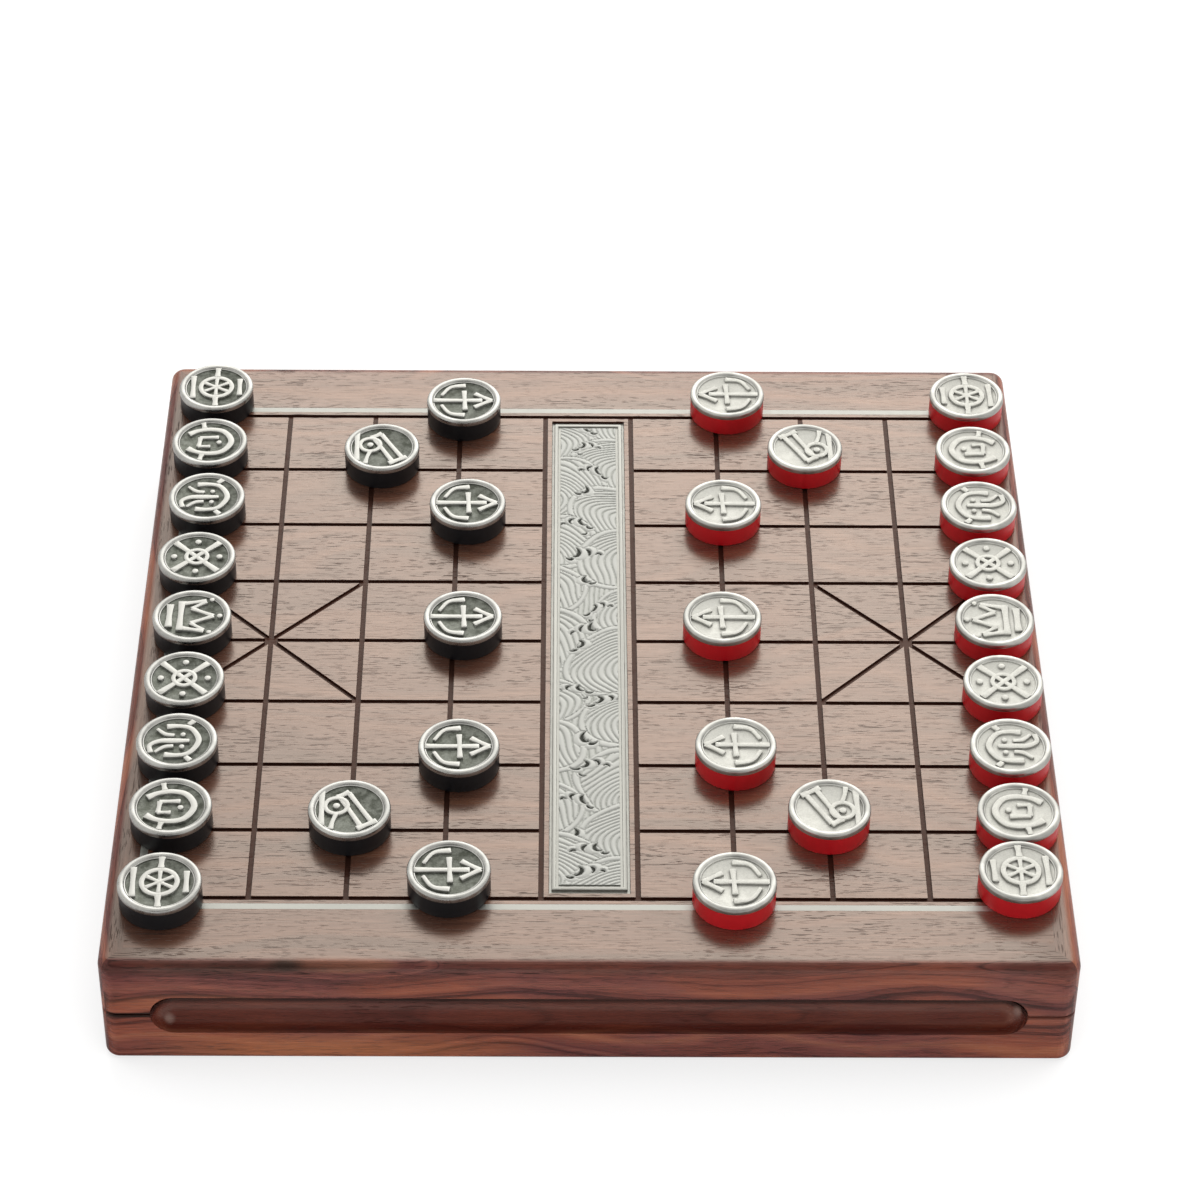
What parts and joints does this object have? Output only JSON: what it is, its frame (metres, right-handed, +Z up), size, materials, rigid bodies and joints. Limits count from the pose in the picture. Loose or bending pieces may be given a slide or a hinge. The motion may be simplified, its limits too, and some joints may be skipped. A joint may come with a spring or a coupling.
{
  "type": "xiangqi board box",
  "caption": "Square walnut box whose hinged lid is a xiangqi board with a pewter river plaque, set out with its loose disc playing pieces.",
  "frame": {"origin": "centre of the box's underside, the face it rests on", "axes": "+Z up, +X to the red side of the board, +Y to the hinged back, so the finger cove faces -Y"},
  "size_m": [0.35, 0.3552, 0.0581],
  "materials": {
    "walnut_rail": "satin lacquer",
    "walnut_board": "satin lacquer",
    "walnut_inside": "satin",
    "pewter": "satin pewter",
    "black_piece": "black anodised body with a pewter cap",
    "red_piece": "red anodised body with a pewter cap",
    "hinge_brass": "satin",
    "felt": "felt"
  },
  "bodies": {
    "base": {"base_front_rail": "walnut_rail", "base_right_rail": "walnut_rail", "base_back_rail": "walnut_rail", "base_left_rail": "walnut_rail", "base_panel": "walnut_inside", "underside_baize": "felt", "bay_divider": "walnut_inside", "bay_felts": "felt", "lid_bumpers": "felt", "base_hinge_screws": "hinge_brass", "hinge_pins": "hinge_brass", "left_hinge_lower_leaf": "hinge_brass", "right_hinge_lower_leaf": "hinge_brass"},
    "lid": {"lid_front_rail": "walnut_rail", "lid_right_rail": "walnut_rail", "lid_back_rail": "walnut_rail", "lid_left_rail": "walnut_rail", "board_panel": "walnut_board", "river_plaque": "pewter", "border_strip_front": "pewter", "border_strip_right": "pewter", "border_strip_back": "pewter", "border_strip_left": "pewter", "lid_lining": "felt", "lid_hinge_screws": "hinge_brass", "left_hinge_upper_leaf": "hinge_brass", "right_hinge_upper_leaf": "hinge_brass"},
    "black_advisor_1": {"black_advisor_1": "black_piece"},
    "black_advisor_2": {"black_advisor_2": "black_piece"},
    "black_cannon_1": {"black_cannon_1": "black_piece"},
    "black_cannon_2": {"black_cannon_2": "black_piece"},
    "black_chariot_1": {"black_chariot_1": "black_piece"},
    "black_chariot_2": {"black_chariot_2": "black_piece"},
    "black_elephant_1": {"black_elephant_1": "black_piece"},
    "black_elephant_2": {"black_elephant_2": "black_piece"},
    "black_general": {"black_general": "black_piece"},
    "black_horse_1": {"black_horse_1": "black_piece"},
    "black_horse_2": {"black_horse_2": "black_piece"},
    "black_soldier_1": {"black_soldier_1": "black_piece"},
    "black_soldier_2": {"black_soldier_2": "black_piece"},
    "black_soldier_3": {"black_soldier_3": "black_piece"},
    "black_soldier_4": {"black_soldier_4": "black_piece"},
    "black_soldier_5": {"black_soldier_5": "black_piece"},
    "red_advisor_1": {"red_advisor_1": "red_piece"},
    "red_advisor_2": {"red_advisor_2": "red_piece"},
    "red_cannon_1": {"red_cannon_1": "red_piece"},
    "red_cannon_2": {"red_cannon_2": "red_piece"},
    "red_chariot_1": {"red_chariot_1": "red_piece"},
    "red_chariot_2": {"red_chariot_2": "red_piece"},
    "red_elephant_1": {"red_elephant_1": "red_piece"},
    "red_elephant_2": {"red_elephant_2": "red_piece"},
    "red_general": {"red_general": "red_piece"},
    "red_horse_1": {"red_horse_1": "red_piece"},
    "red_horse_2": {"red_horse_2": "red_piece"},
    "red_soldier_1": {"red_soldier_1": "red_piece"},
    "red_soldier_2": {"red_soldier_2": "red_piece"},
    "red_soldier_3": {"red_soldier_3": "red_piece"},
    "red_soldier_4": {"red_soldier_4": "red_piece"},
    "red_soldier_5": {"red_soldier_5": "red_piece"}
  },
  "joints": [
    {"name": "back_hinge", "type": "hinge", "parent": "base", "child": "lid", "pos_m": [0, 0.1777, 0.0228], "axis": [-1, 0, 0], "range_deg": [0, 95]},
    {"name": "black_advisor_1_lift", "type": "slide", "parent": "lid", "child": "black_advisor_1", "axis": [0, 0, 1], "range_m": [0, 0.04]},
    {"name": "black_advisor_2_lift", "type": "slide", "parent": "lid", "child": "black_advisor_2", "axis": [0, 0, 1], "range_m": [0, 0.04]},
    {"name": "black_cannon_1_lift", "type": "slide", "parent": "lid", "child": "black_cannon_1", "axis": [0, 0, 1], "range_m": [0, 0.04]},
    {"name": "black_cannon_2_lift", "type": "slide", "parent": "lid", "child": "black_cannon_2", "axis": [0, 0, 1], "range_m": [0, 0.04]},
    {"name": "black_chariot_1_lift", "type": "slide", "parent": "lid", "child": "black_chariot_1", "axis": [0, 0, 1], "range_m": [0, 0.04]},
    {"name": "black_chariot_2_lift", "type": "slide", "parent": "lid", "child": "black_chariot_2", "axis": [0, 0, 1], "range_m": [0, 0.04]},
    {"name": "black_elephant_1_lift", "type": "slide", "parent": "lid", "child": "black_elephant_1", "axis": [0, 0, 1], "range_m": [0, 0.04]},
    {"name": "black_elephant_2_lift", "type": "slide", "parent": "lid", "child": "black_elephant_2", "axis": [0, 0, 1], "range_m": [0, 0.04]},
    {"name": "black_general_lift", "type": "slide", "parent": "lid", "child": "black_general", "axis": [0, 0, 1], "range_m": [0, 0.04]},
    {"name": "black_horse_1_lift", "type": "slide", "parent": "lid", "child": "black_horse_1", "axis": [0, 0, 1], "range_m": [0, 0.04]},
    {"name": "black_horse_2_lift", "type": "slide", "parent": "lid", "child": "black_horse_2", "axis": [0, 0, 1], "range_m": [0, 0.04]},
    {"name": "black_soldier_1_lift", "type": "slide", "parent": "lid", "child": "black_soldier_1", "axis": [0, 0, 1], "range_m": [0, 0.04]},
    {"name": "black_soldier_2_lift", "type": "slide", "parent": "lid", "child": "black_soldier_2", "axis": [0, 0, 1], "range_m": [0, 0.04]},
    {"name": "black_soldier_3_lift", "type": "slide", "parent": "lid", "child": "black_soldier_3", "axis": [0, 0, 1], "range_m": [0, 0.04]},
    {"name": "black_soldier_4_lift", "type": "slide", "parent": "lid", "child": "black_soldier_4", "axis": [0, 0, 1], "range_m": [0, 0.04]},
    {"name": "black_soldier_5_lift", "type": "slide", "parent": "lid", "child": "black_soldier_5", "axis": [0, 0, 1], "range_m": [0, 0.04]},
    {"name": "red_advisor_1_lift", "type": "slide", "parent": "lid", "child": "red_advisor_1", "axis": [0, 0, 1], "range_m": [0, 0.04]},
    {"name": "red_advisor_2_lift", "type": "slide", "parent": "lid", "child": "red_advisor_2", "axis": [0, 0, 1], "range_m": [0, 0.04]},
    {"name": "red_cannon_1_lift", "type": "slide", "parent": "lid", "child": "red_cannon_1", "axis": [0, 0, 1], "range_m": [0, 0.04]},
    {"name": "red_cannon_2_lift", "type": "slide", "parent": "lid", "child": "red_cannon_2", "axis": [0, 0, 1], "range_m": [0, 0.04]},
    {"name": "red_chariot_1_lift", "type": "slide", "parent": "lid", "child": "red_chariot_1", "axis": [0, 0, 1], "range_m": [0, 0.04]},
    {"name": "red_chariot_2_lift", "type": "slide", "parent": "lid", "child": "red_chariot_2", "axis": [0, 0, 1], "range_m": [0, 0.04]},
    {"name": "red_elephant_1_lift", "type": "slide", "parent": "lid", "child": "red_elephant_1", "axis": [0, 0, 1], "range_m": [0, 0.04]},
    {"name": "red_elephant_2_lift", "type": "slide", "parent": "lid", "child": "red_elephant_2", "axis": [0, 0, 1], "range_m": [0, 0.04]},
    {"name": "red_general_lift", "type": "slide", "parent": "lid", "child": "red_general", "axis": [0, 0, 1], "range_m": [0, 0.04]},
    {"name": "red_horse_1_lift", "type": "slide", "parent": "lid", "child": "red_horse_1", "axis": [0, 0, 1], "range_m": [0, 0.04]},
    {"name": "red_horse_2_lift", "type": "slide", "parent": "lid", "child": "red_horse_2", "axis": [0, 0, 1], "range_m": [0, 0.04]},
    {"name": "red_soldier_1_lift", "type": "slide", "parent": "lid", "child": "red_soldier_1", "axis": [0, 0, 1], "range_m": [0, 0.04]},
    {"name": "red_soldier_2_lift", "type": "slide", "parent": "lid", "child": "red_soldier_2", "axis": [0, 0, 1], "range_m": [0, 0.04]},
    {"name": "red_soldier_3_lift", "type": "slide", "parent": "lid", "child": "red_soldier_3", "axis": [0, 0, 1], "range_m": [0, 0.04]},
    {"name": "red_soldier_4_lift", "type": "slide", "parent": "lid", "child": "red_soldier_4", "axis": [0, 0, 1], "range_m": [0, 0.04]},
    {"name": "red_soldier_5_lift", "type": "slide", "parent": "lid", "child": "red_soldier_5", "axis": [0, 0, 1], "range_m": [0, 0.04]}
  ]
}
